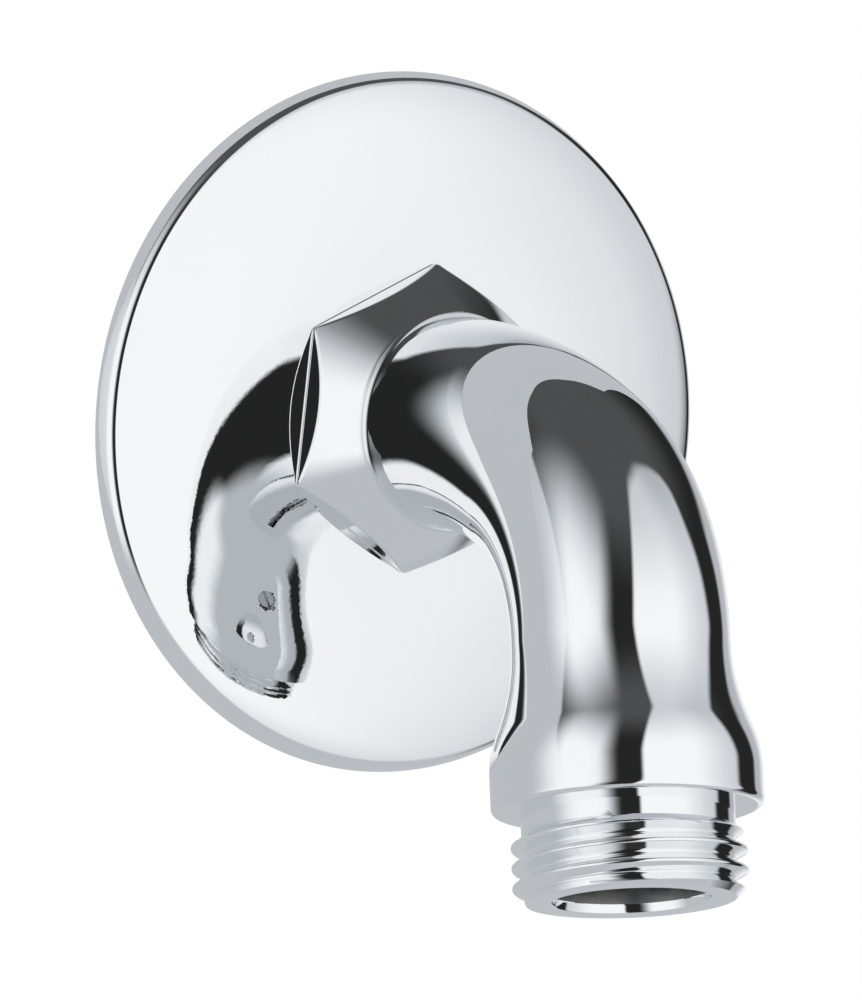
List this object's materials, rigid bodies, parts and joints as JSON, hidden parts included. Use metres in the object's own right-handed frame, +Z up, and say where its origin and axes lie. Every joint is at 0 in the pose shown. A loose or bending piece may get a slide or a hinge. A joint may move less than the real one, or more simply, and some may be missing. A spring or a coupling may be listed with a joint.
{
  "type": "shower arm",
  "caption": "Chrome wall shower arm: a cast elbow with a hexagon flange, a loose round rosette and a male pipe-thread outlet that points down.",
  "frame": {"origin": "on the inlet thread's axis at the wall plane, where the rosette's rim meets the wall", "axes": "+Y along the inlet axis into the wall, the arm stands out towards -Y, +Z up, X along the wall"},
  "size_m": [0.065, 0.0713, 0.0745],
  "materials": {
    "polished_chrome": "polished chrome plating on cast brass",
    "rosette_chrome": "polished chrome plating on pressed brass",
    "screw_steel": "plain steel"
  },
  "bodies": {
    "root": {"arm_body": "polished_chrome", "rosette": "rosette_chrome", "grub_screw": "screw_steel"}
  },
  "joints": []
}
